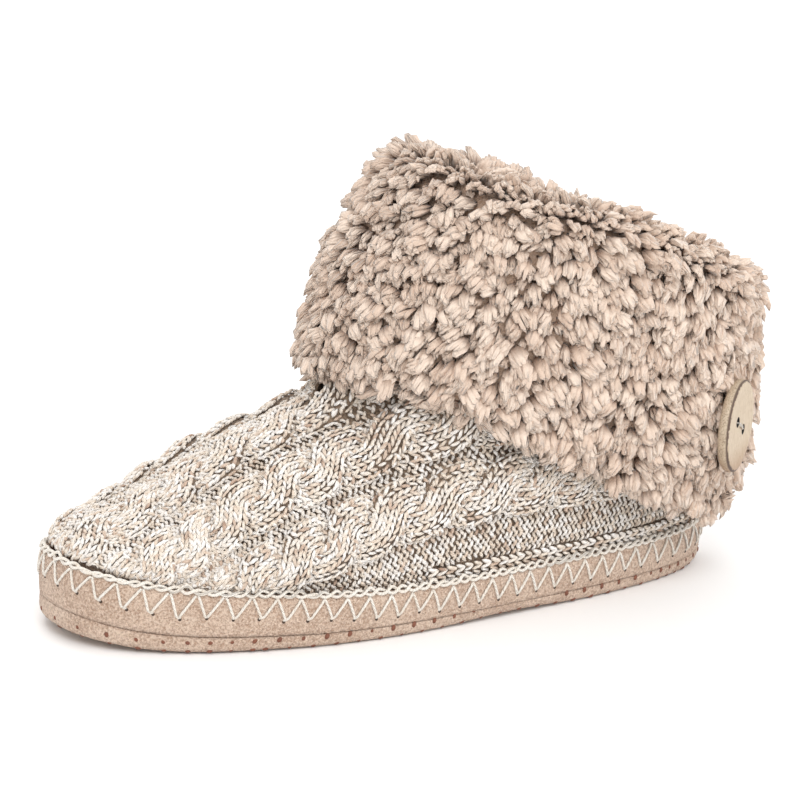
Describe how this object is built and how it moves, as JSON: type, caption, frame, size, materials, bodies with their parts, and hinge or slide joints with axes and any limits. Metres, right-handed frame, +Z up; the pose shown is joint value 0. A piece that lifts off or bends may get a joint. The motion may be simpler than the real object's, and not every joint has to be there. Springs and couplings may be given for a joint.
{
  "type": "bootie slipper",
  "caption": "Knitted bootie slipper for the left foot with a folded fur cuff held by a round wooden button, a soft stitched sole band and a thin flexible outsole.",
  "frame": {"origin": "on the floor, on the sole's flat underside below the middle of the heel", "axes": "+X towards the toe, +Y towards the outer side of the left foot, +Z up"},
  "size_m": [0.2673, 0.1121, 0.1524],
  "materials": {
    "outsole": "suede-like nap with rubber grip dots",
    "side_band": "suede-like nap with white stitching",
    "upper": "marled cable knit, matt",
    "insole": "fleece, matt",
    "cuff": "curly sherpa fur, matt",
    "button": "satin coconut wood"
  },
  "bodies": {
    "root": {"outsole": "outsole", "side_band": "side_band", "upper": "upper", "insole": "insole", "cuff": "cuff", "button": "button"}
  },
  "joints": []
}
